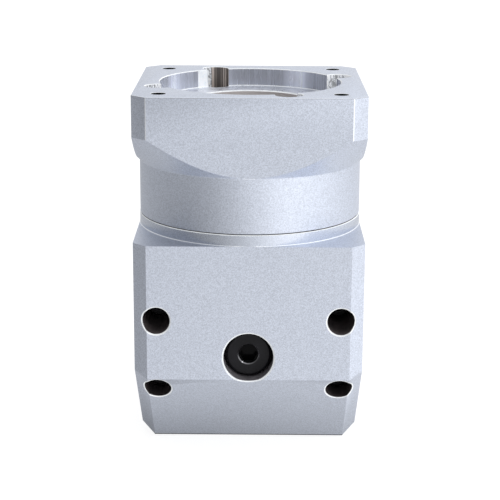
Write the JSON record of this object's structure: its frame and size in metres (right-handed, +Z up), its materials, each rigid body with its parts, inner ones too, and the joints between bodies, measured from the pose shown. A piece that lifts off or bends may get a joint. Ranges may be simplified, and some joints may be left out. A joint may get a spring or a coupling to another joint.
{
  "type": "right-angle planetary gearbox",
  "caption": "Right-angle planetary gear reducer: square motor flange with pilot pocket on top, round planetary neck, bevel gear cube below, keyed output shaft at the back.",
  "frame": {"origin": "foot of the input (motor) axis on the base face of the bevel gear cube", "axes": "+Z up along the input axis to the motor flange, +Y along the output axis out of the back, +X to the right seen from the front face with the plug"},
  "size_m": [0.09, 0.156, 0.15],
  "materials": {
    "anodised_aluminium": "bead-blasted clear anodised aluminium, satin, faint blue tint, bright machined bores",
    "black_screw_steel": "black-oxide steel fasteners",
    "black_plug_steel": "satin black plug with a hex socket",
    "seal_rubber": "matt black nitrile rubber",
    "bronze": "bearing cage and bush bronze",
    "bearing_steel": "ground bearing steel",
    "shaft_steel": "ground shaft steel",
    "gear_steel": "case-hardened gear steel",
    "machined_steel": "machined steel"
  },
  "bodies": {
    "housing": {"motor_flange_body": "anodised_aluminium", "bevel_housing": "anodised_aluminium", "output_flange": "anodised_aluminium", "ring_gear": "gear_steel", "input_bearing_outer_race": "bearing_steel", "carrier_bearing_upper_outer_race": "bearing_steel", "carrier_bearing_lower_outer_race": "bearing_steel", "output_bearing_inner_outer_race": "bearing_steel", "output_bearing_outer_outer_race": "bearing_steel", "input_circlip": "black_screw_steel", "output_circlip": "black_screw_steel", "output_seal": "seal_rubber", "housing_o_ring": "seal_rubber", "flange_screw_1": "black_screw_steel", "flange_screw_2": "black_screw_steel", "flange_screw_3": "black_screw_steel", "flange_screw_4": "black_screw_steel", "output_flange_screw_1": "black_screw_steel", "output_flange_screw_2": "black_screw_steel", "output_flange_screw_3": "black_screw_steel", "output_flange_screw_4": "black_screw_steel", "access_plug": "black_plug_steel", "clamp_access_plug": "black_plug_steel"},
    "input": {"sun_gear_shaft": "gear_steel", "clamp_ring": "machined_steel", "clamp_screw": "black_screw_steel", "input_bearing_inner_race": "bearing_steel"},
    "input_cage": {"input_bearing_ball_cage": "bronze"},
    "carrier": {"carrier_shaft": "machined_steel", "carrier_cover_plate": "machined_steel", "planet_pin_1": "machined_steel", "planet_pin_2": "machined_steel", "planet_pin_3": "machined_steel", "carrier_bearing_upper_inner_race": "bearing_steel", "carrier_bearing_lower_inner_race": "bearing_steel", "bevel_pinion": "gear_steel", "pinion_key": "machined_steel", "pinion_washer": "machined_steel", "pinion_screw": "black_screw_steel"},
    "carrier_cages": {"carrier_bearing_upper_ball_cage": "bronze", "carrier_bearing_lower_ball_cage": "bronze"},
    "planet_1": {"planet_gear_1": "gear_steel", "planet_bush_1": "bronze"},
    "planet_2": {"planet_gear_2": "gear_steel", "planet_bush_2": "bronze"},
    "planet_3": {"planet_gear_3": "gear_steel", "planet_bush_3": "bronze"},
    "output": {"output_shaft": "shaft_steel", "output_bevel_gear": "gear_steel", "output_gear_key": "gear_steel", "output_gear_washer": "gear_steel", "output_gear_screw": "black_screw_steel", "output_key": "shaft_steel", "output_spacer": "machined_steel", "output_bearing_inner_inner_race": "bearing_steel", "output_bearing_outer_inner_race": "bearing_steel"},
    "output_cages": {"output_bearing_inner_ball_cage": "bronze", "output_bearing_outer_ball_cage": "bronze"}
  },
  "joints": [
    {"name": "output_spin", "type": "hinge", "parent": "housing", "child": "output", "pos_m": [0, 0, 0.0476], "axis": [0, 1, 0], "continuous": true},
    {"name": "carrier_spin", "type": "hinge", "parent": "housing", "child": "carrier", "pos_m": [0, 0, 0.0826], "axis": [0, 0, 1], "continuous": true},
    {"name": "input_spin", "type": "hinge", "parent": "housing", "child": "input", "pos_m": [0, 0, 0.1206], "axis": [0, 0, 1], "continuous": true},
    {"name": "planet_1_spin", "type": "hinge", "parent": "carrier", "child": "planet_1", "pos_m": [0, 0.01875, 0.1052], "axis": [0, 0, 1], "continuous": true},
    {"name": "planet_2_spin", "type": "hinge", "parent": "carrier", "child": "planet_2", "pos_m": [-0.01624, -0.00937, 0.1052], "axis": [0, 0, 1], "continuous": true},
    {"name": "planet_3_spin", "type": "hinge", "parent": "carrier", "child": "planet_3", "pos_m": [0.01624, -0.00937, 0.1052], "axis": [0, 0, 1], "continuous": true},
    {"name": "input_cage_spin", "type": "hinge", "parent": "housing", "child": "input_cage", "pos_m": [0, 0, 0.1211], "axis": [0, 0, 1], "continuous": true},
    {"name": "carrier_cages_spin", "type": "hinge", "parent": "housing", "child": "carrier_cages", "pos_m": [0, 0, 0.0822], "axis": [0, 0, 1], "continuous": true},
    {"name": "output_cages_spin", "type": "hinge", "parent": "housing", "child": "output_cages", "pos_m": [0, 0.046, 0.0476], "axis": [0, 1, 0], "continuous": true}
  ],
  "couplings": [
    {"joint": "carrier_spin", "follows": "output_spin", "ratio": -1},
    {"joint": "input_spin", "follows": "output_spin", "ratio": -5},
    {"joint": "planet_1_spin", "follows": "output_spin", "ratio": 2.6667},
    {"joint": "planet_2_spin", "follows": "output_spin", "ratio": 2.6667},
    {"joint": "planet_3_spin", "follows": "output_spin", "ratio": 2.6667},
    {"joint": "input_cage_spin", "follows": "output_spin", "ratio": -2.18},
    {"joint": "carrier_cages_spin", "follows": "output_spin", "ratio": -0.4264},
    {"joint": "output_cages_spin", "follows": "output_spin", "ratio": 0.4114}
  ]
}
